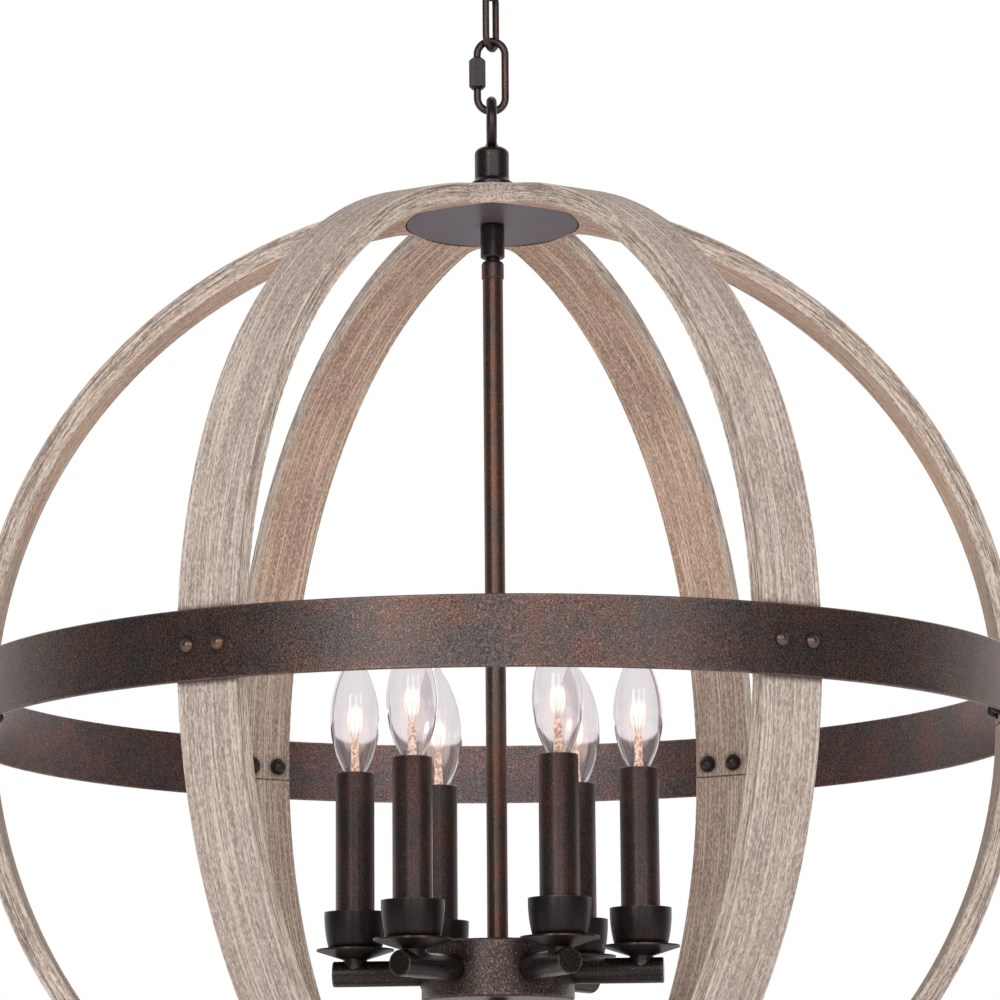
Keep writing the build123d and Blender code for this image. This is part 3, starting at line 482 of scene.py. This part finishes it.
def lit_glass(name, dim, bright):
    """Frosty glass with painted sparkle and painted glow: emission in a noise pattern stands in for
    the filament's light caught in it.
    """
    material, tree, shader = new_material(name)
    sparkle = soft_step(tree, noise(tree, place_on_piece(tree), 420.0, 2.0), 0.40, 0.60)
    colour = colour_mix(tree, sparkle, dim, bright)
    tree.links.new(colour, shader.inputs["Base Color"])
    tree.links.new(colour, shader.inputs["Emission Color"])
    shader.inputs["Emission Strength"].default_value = 0.2
    shader.inputs["Transmission Weight"].default_value = 0.5
    shader.inputs["Roughness"].default_value = 0.2
    shader.inputs["IOR"].default_value = GLASS_IOR
    return material


def glowing(name, colour, strength):
    """A surface that gives light."""
    material, _, shader = new_material(name)
    shader.inputs["Base Color"].default_value = colour
    shader.inputs["Emission Color"].default_value = colour
    shader.inputs["Emission Strength"].default_value = strength
    return material


def glow(name, colour, strength, centre, half_height, thickness):
    """Soft light round a filament, which fades out above and below it."""
    material, tree, shader = new_material(name)
    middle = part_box("bulb_1_glass")[0].z + centre
    height = split_axes(tree, place_on_piece(tree))[2]
    away = calc(tree, "ABSOLUTE", calc(tree, "SUBTRACT", height, middle))
    near = soft_step(tree, away, half_height, 0.4 * half_height)
    tree.links.new(calc(tree, "MULTIPLY", near, thickness), shader.inputs["Alpha"])
    shader.inputs["Base Color"].default_value = (0.0, 0.0, 0.0, 1.0)
    shader.inputs["Specular IOR Level"].default_value = 0.0
    shader.inputs["Emission Color"].default_value = colour
    shader.inputs["Emission Strength"].default_value = strength
    return material


COPPER_RUB = srgb(152, 117, 97)
PALE_RUB = srgb(176, 146, 130)
band_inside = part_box("equator_band")[1].x - 1 * MM

# Dark bronze finishes: body, rubbed tone, cover of specks, roughness, wear of edges, grit
bronzes = {
    "band_bronze": (srgb(105, 81, 74), PALE_RUB, 0.45, 0.34, 0.9, 1.0),
    "bolt_bronze": (srgb(126, 96, 82), srgb(196, 150, 122), 0.4, 0.32, 0.5, 0.3),
    "dark_bronze": (srgb(72, 62, 62), COPPER_RUB, 0.4, 0.34, 0.6, 0.5),
    "plate_bronze": (srgb(105, 88, 104), srgb(126, 108, 116), 0.1, 0.42, 0.4, 0.3),
    "stem_bronze": (srgb(114, 81, 69), COPPER_RUB, 0.4, 0.34, 0.6, 0.6),
    "hub_bronze": (srgb(95, 76, 72), srgb(180, 154, 132), 0.75, 0.36, 0.6, 0.9),
    "arm_bronze": (srgb(66, 57, 55), srgb(180, 154, 120), 0.4, 0.30, 1.0, 0.3),
    "cup_bronze": (srgb(62, 52, 52), COPPER_RUB, 0.2, 0.36, 0.9, 0.25),
    "sleeve_bronze": (srgb(92, 70, 66), srgb(156, 128, 114), 0.4, 0.36, 0.6, 0.55),
    "chain_bronze": (srgb(94, 72, 65), srgb(158, 118, 98), 0.4, 0.32, 0.6, 0.5),
}
extras = {
    # The band's inner face gets painted light inside this radius
    "band_bronze": {"wear_width": 2.4 * MM, "inside": band_inside},
    "plate_bronze": {"metal": 0.15},
    "arm_bronze": {"wear_width": 2.6 * MM},
}
finishes = {}
for name, looks in bronzes.items():
    finishes[name] = bronze(name, *looks, **extras.get(name, {}))
finishes |= {
    "weathered_wood": weathered_wood(),
    "zinc_steel": plain("zinc_steel", srgb(176, 176, 172), 0.35, 1.0),
    "holder_plastic": plain("holder_plastic", srgb(214, 206, 190), 0.5),
    "lead_jacket": plain("lead_jacket", srgb(48, 44, 42), 0.6),
    "bulb_glass": clear_glass("bulb_glass", (0.90, 0.87, 0.885, 1.0), 0.05),
    "bulb_brass": plain("bulb_brass", srgb(196, 160, 104), 0.35, 1.0),
}
mount_glass = lit_glass("mount_glass", srgb(190, 142, 118), srgb(255, 244, 232))
lead_wire = plain("lead_wire", srgb(244, 214, 186), 0.35, 1.0)
filament_light = glowing("filament_light", (1.0, 0.84, 0.66, 1.0), 16.0)
GLOW_COLOUR = (1.0, 0.80, 0.66, 1.0)
HEART_COLOUR = (1.0, 0.985, 0.95, 1.0)
glow_light = glow("glow_light", GLOW_COLOUR, 1.2, GLOW_CENTRE, GLOW_HALF_HEIGHT, 0.18)
heart_light = glow("heart_light", HEART_COLOUR, 1.45, HEART_CENTRE, HEART_HALF_HEIGHT, 0.50)

DARKER_NODES = ("band_cap_nuts", "quick_link_nut")
for part in frame["record"]["subparts"]:
    finish = "dark_bronze" if part["node"] in DARKER_NODES else part["material_slot"]
    frame["nodes"][part["node"]].material_slots[0].material = finishes[finish]


# Pieces of one bulb, modelled about the Z axis with the screw shell's top at z = 0


def deselect():
    """Nothing selected, before a new piece is added."""
    bpy.ops.object.select_all(action="DESELECT")


def turned(name, rings, segments=48, wall=0.0):
    """A turned piece: a circle extruded and resized ring by ring, closed at its last ring.

    With a wall, it's a shell of that thickness.
    """
    deselect()
    first_radius, first_height = rings[0]
    start = (0, 0, first_height)
    bpy.ops.mesh.primitive_circle_add(vertices=segments, radius=first_radius, location=start)
    piece = bpy.context.object
    piece.name = name
    bpy.ops.object.mode_set(mode="EDIT")
    bpy.ops.mesh.select_all(action="SELECT")
    for (radius, height), (next_radius, next_height) in zip(rings, rings[1:]):
        rise = (0, 0, next_height - height)
        bpy.ops.mesh.extrude_region_move(TRANSFORM_OT_translate={"value": rise})
        share = next_radius / radius
        bpy.ops.transform.resize(value=(share, share, 1), center_override=(0, 0, next_height))
    bpy.ops.mesh.merge(type="CENTER")
    bpy.ops.mesh.select_all(action="SELECT")
    bpy.ops.mesh.normals_make_consistent(inside=False)
    bpy.ops.object.mode_set(mode="OBJECT")
    bpy.ops.object.transform_apply(location=True, rotation=True, scale=True)
    if wall:
        thickness = piece.modifiers.new("wall", "SOLIDIFY")
        thickness.thickness = wall
        thickness.offset = -1
        bpy.ops.object.modifier_apply(modifier=thickness.name)
    bpy.ops.object.shade_smooth_by_angle(angle=SMOOTH_ANGLE)
    return piece


def arc_rings(start, end, vertical_at_start, count):
    """Rings along an arc between two (radius, height) points that is upright at one of them."""
    upright, other = (start, end) if vertical_at_start else (end, start)
    run = upright[0] - other[0]
    rise = other[1] - upright[1]
    bend = (run * run + rise * rise) / (2 * run)
    span = math.asin(max(-1.0, min(1.0, abs(rise) / bend)))
    sign = 1 if rise > 0 else -1
    rings = []
    for i in range(count + 1):
        angle = span * i / count
        radius = upright[0] - bend * (1 - math.cos(angle))
        rings.append((radius, upright[1] + sign * bend * math.sin(angle)))
    return rings if vertical_at_start else rings[::-1]


def envelope():
    """Torpedo envelope of thin glass."""
    neck = (BULB_NECK_RADIUS, 0.0)
    belly = (BULB_RADIUS, BULB_BELLY_HEIGHT)
    shoulder = (BULB_TIP_RADIUS, BULB_TIP_HEIGHT - BULB_TIP_RADIUS / 2)
    lower = arc_rings(neck, belly, False, 18)
    upper = arc_rings(belly, shoulder, True, 22)
    tip = []
    for share in (0.75, 0.4):
        drop = BULB_TIP_RADIUS / 2 * share * share
        tip.append((BULB_TIP_RADIUS * share, BULB_TIP_HEIGHT - drop))
    return turned("envelope", lower + upper[1:] + tip, 64, BULB_WALL)


def screw_cap():
    """Screw shell with a rolled thread and its end contact."""
    foot = -SCREW_SHELL_LENGTH
    rings = [(1.0 * MM, foot - CONTACT_HEIGHT), (3.0 * MM, foot - 0.95 * CONTACT_HEIGHT)]
    rings.append((SCREW_SHELL_RADIUS - 1.2 * MM, foot))
    thread_start = foot + 1 * MM
    for i in range(THREAD_RINGS + 1):
        height = thread_start * (1 - i / THREAD_RINGS)
        wave = THREAD_DEPTH * (1 - math.cos(2 * math.pi * height / SCREW_PITCH)) / 2
        rings.append((SCREW_SHELL_RADIUS - wave, height))
    rings.append((BULB_NECK_RADIUS - 1.2 * MM, 0.0))
    return turned("screw_cap", rings, 32)


def glass_mount():
    """Flared glass stem that carries the leads."""
    rings = [(4.0 * MM, 0.1 * MM), (3.6 * MM, 1.5 * MM), (3.0 * MM, 7 * MM), (2.6 * MM, 15 * MM)]
    rings += [(2.9 * MM, 20 * MM), (2.4 * MM, 24 * MM), (0.8 * MM, MOUNT_HEIGHT)]
    return turned("glass_mount", rings, 24)


def wire(name, points, radius):
    """A round wire along five points."""
    deselect()
    bpy.ops.curve.primitive_nurbs_path_add()
    path = bpy.context.object
    path.name = name
    spline = path.data.splines[0]
    for point, place in zip(spline.points, points):
        point.co = (*place, 1.0)
    spline.use_endpoint_u = True
    path.data.bevel_depth = radius
    path.data.bevel_resolution = 2
    path.data.use_fill_caps = True
    bpy.ops.object.convert(target="MESH")
    bpy.ops.object.shade_smooth()
    return bpy.context.object


def joined(pieces, name):
    """Several pieces made one."""
    deselect()
    for piece in pieces:
        piece.select_set(True)
    bpy.context.view_layer.objects.active = pieces[0]
    bpy.ops.object.join()
    piece = bpy.context.object
    piece.name = name
    return piece


def leads():
    """Two leads and a middle support."""
    pieces = []
    for side in (-1, 1):
        span = side * FILAMENT_HALF_SPAN
        places = [
            (side * 0.8 * MM, 0, 16 * MM),
            (side * 0.9 * MM, 0, 24 * MM),
            (0.5 * span, 0, 29 * MM),
            (span, 0, 34 * MM),
            (span, 0, FILAMENT_HEIGHT),
        ]
        pieces.append(wire(f"lead_{side}", places, LEAD_RADIUS))
    rise = FILAMENT_HEIGHT + FILAMENT_RISE - SUPPORT_FOOT
    places = [(0, 0, SUPPORT_FOOT + rise * i / 4) for i in range(5)]
    pieces.append(wire("support", places, LEAD_RADIUS * 0.7))
    return joined(pieces, "leads")


def filament():
    """Coiled filament, an arch of two coils over the middle support."""
    pieces = []
    length = math.hypot(FILAMENT_HALF_SPAN, FILAMENT_RISE)
    lean = math.atan2(FILAMENT_HALF_SPAN, FILAMENT_RISE)
    for side in (-1, 1):
        deselect()
        bpy.ops.mesh.primitive_circle_add(
            vertices=8,
            radius=FILAMENT_WIRE_RADIUS,
            location=(FILAMENT_COIL_RADIUS, 0, 0),
            rotation=(math.pi / 2, 0, 0),
        )
        coil = bpy.context.object
        bpy.ops.object.transform_apply(location=True, rotation=True, scale=True)
        screw = coil.modifiers.new("coil", "SCREW")
        screw.axis = "Z"
        screw.angle = 2 * math.pi
        screw.screw_offset = length / FILAMENT_TURNS
        screw.iterations = FILAMENT_TURNS
        screw.steps = screw.render_steps = 12
        bpy.ops.object.modifier_apply(modifier=screw.name)
        place = Matrix.Translation((side * FILAMENT_HALF_SPAN, 0, FILAMENT_HEIGHT))
        coil.data.transform(place @ Matrix.Rotation(-side * lean, 4, "Y"))
        pieces.append(coil)
    piece = joined(pieces, "filament")
    bpy.ops.object.shade_smooth()
    return piece


def light_spindle(name, centre, radius, half_height):
    """Spindle of soft light round the filament."""
    angles = [math.pi * i / 16 for i in range(1, 16)]
    rings = [(radius * math.sin(a), centre - half_height * math.cos(a)) for a in angles]
    return turned(name, rings, 32)


def copy_to(piece, name, place):
    """A copy with its own mesh, moved to its place."""
    copy = piece.copy()
    copy.data = piece.data.copy()
    copy.data.transform(place)
    copy.name = name
    bpy.context.scene.collection.objects.link(copy)
    return copy


def set_material(piece, material):
    """One material on all of a piece."""
    piece.data.materials.clear()
    piece.data.materials.append(material)
    return piece


glow_piece = light_spindle("glow", GLOW_CENTRE, GLOW_RADIUS, GLOW_HALF_HEIGHT)
heart_piece = light_spindle("heart", HEART_CENTRE, HEART_RADIUS, HEART_HALF_HEIGHT)
bulb_pieces = {
    "envelope": (set_material(envelope(), finishes["bulb_glass"]), "bulb_glass"),
    "cap": (set_material(screw_cap(), finishes["bulb_brass"]), "bulb_brass"),
    "mount": (set_material(glass_mount(), mount_glass), "bulb_glass"),
    "leads": (set_material(leads(), lead_wire), "bulb_brass"),
    "filament": (set_material(filament(), filament_light), "bulb_brass"),
    "glow": (set_material(glow_piece, glow_light), "bulb_glass"),
    "heart": (set_material(heart_piece, heart_light), "bulb_glass"),
}
replaced = {"envelope": "glass", "cap": "base"}
casts_shadow = ("cap", "leads")
gives_light = ("filament", "glow", "heart")
for number in range(1, BULB_COUNT + 1):
    low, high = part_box(f"bulb_{number}_glass")
    spot = Matrix.Translation(((low.x + high.x) / 2, (low.y + high.y) / 2, low.z))
    turn = Matrix.Rotation(BULB_TURN * number, 4, "Z")
    for label, (pattern, slot) in bulb_pieces.items():
        piece = copy_to(pattern, f"bulb_{number}_{label}", spot @ turn)
        piece.visible_shadow = label in casts_shadow
        piece.visible_glossy = label not in gives_light
        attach(piece, f"bulb_{number}")
        if label in replaced:
            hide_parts(f"bulb_{number}_{replaced[label]}")
for pattern, _ in bulb_pieces.values():
    bpy.data.objects.remove(pattern)


# Studio: floor, world, lamps and camera


def studio_floor():
    """Pale floor under the hanging part."""
    deselect()
    height = cad_box[0][2] - FLOOR_DROP
    bpy.ops.mesh.primitive_plane_add(size=FLOOR_SIZE, location=(0, 0, height))
    floor = bpy.context.object
    floor.name = "studio_floor"
    material, tree, shader = new_material("studio_floor")
    shader.inputs["Base Color"].default_value = (0.9, 0.9, 0.9, 1.0)
    shader.inputs["Roughness"].default_value = 0.9
    shader.inputs["Emission Color"].default_value = (1.0, 1.0, 1.0, 1.0)
    seen = tree.nodes.new("ShaderNodeLightPath").outputs["Is Camera Ray"]
    tree.links.new(calc(tree, "MULTIPLY", seen, FLOOR_GLOW), shader.inputs["Emission Strength"])
    set_material(floor, material)


def studio_world():
    """White backdrop for the camera, metal and glass, and a softer light on the part."""
    world = bpy.data.worlds.new("studio")
    world.use_nodes = True
    bpy.context.scene.world = world
    tree = world.node_tree
    path = tree.nodes.new("ShaderNodeLightPath").outputs
    heading = split_axes(tree, tree.nodes.new("ShaderNodeTexCoord").outputs["Generated"])
    backdrop = soft_step(tree, heading[1], 0.05, 0.6)
    backdrop = calc(tree, "ADD", calc(tree, "MULTIPLY", backdrop, 1.0 - ROOM), ROOM)
    mirrored = calc(tree, "MULTIPLY", path["Is Glossy Ray"], backdrop)
    lit = calc(tree, "MULTIPLY", path["Is Diffuse Ray"], AMBIENT)
    seen = calc(tree, "MAXIMUM", path["Is Camera Ray"], path["Is Transmission Ray"])
    level = calc(tree, "MAXIMUM", seen, calc(tree, "MAXIMUM", mirrored, lit))
    background = tree.nodes["Background"]
    background.inputs["Color"].default_value = (1.0, 1.0, 1.0, 1.0)
    tree.links.new(level, background.inputs["Strength"])


def softbox(name, turn, rise, width, height, power, mirrored=True):
    """Soft lamp that faces the orb, turned by degrees from the camera's side.

    Its rise is above the orb's centre. A lamp that isn't mirrored doesn't show in the metal.
    """
    data = bpy.data.lights.new(name, "AREA")
    data.shape = "RECTANGLE"
    data.size = width
    data.size_y = height
    data.energy = power
    lamp = bpy.data.objects.new(name, data)
    lamp.visible_camera = False
    lamp.visible_transmission = False
    lamp.visible_glossy = mirrored
    angle = math.radians(turn)
    offset = Vector((LAMP_DISTANCE * math.sin(angle), -LAMP_DISTANCE * math.cos(angle), rise))
    aim = (-offset).to_track_quat("-Z", "Y").to_matrix().to_4x4()
    lamp.matrix_world = Matrix.Translation(orb_centre + offset) @ aim
    bpy.context.scene.collection.objects.link(lamp)


def photo_camera():
    """Camera at the photograph's place: below the band's level and tilted up."""
    level_ahead = Vector((math.sin(CAMERA_YAW), math.cos(CAMERA_YAW), 0))
    forward = math.cos(CAMERA_TILT) * level_ahead + Vector((0, 0, math.sin(CAMERA_TILT)))
    level_right = Vector((math.cos(CAMERA_YAW), -math.sin(CAMERA_YAW), 0))
    level_up = level_right.cross(forward)
    right = math.cos(CAMERA_ROLL) * level_right + math.sin(CAMERA_ROLL) * level_up
    up = math.cos(CAMERA_ROLL) * level_up - math.sin(CAMERA_ROLL) * level_right
    data = bpy.data.cameras.new("photo_camera")
    data.lens = CAMERA_LENS
    data.sensor_width = CAMERA_SENSOR
    data.clip_end = 100.0
    camera = bpy.data.objects.new("photo_camera", data)
    turn = Matrix((right, up, -forward)).transposed().to_4x4()
    camera.matrix_world = Matrix.Translation(orb_centre + CAMERA_OFFSET) @ turn
    bpy.context.scene.collection.objects.link(camera)
    bpy.context.scene.camera = camera


studio_floor()
studio_world()

# Lamps: turn in degrees, rise, width and height in metres, power in watts
softbox("left_softbox", -22, 0.9, 0.9, 1.9, 27.5)
softbox("front_softbox", 6, 0.9, 0.7, 1.9, 15.5)
softbox("right_softbox", 30, 0.9, 0.8, 1.9, 16.5)
softbox("back_softbox", 172, 1.0, 2.4, 1.9, 18.0)
softbox("left_fill", -100, -0.4, 2.4, 1.9, 16.0, mirrored=False)
softbox("right_fill", 100, -0.4, 2.4, 1.9, 16.0, mirrored=False)
photo_camera()
bpy.context.scene.view_settings.view_transform = "Standard"
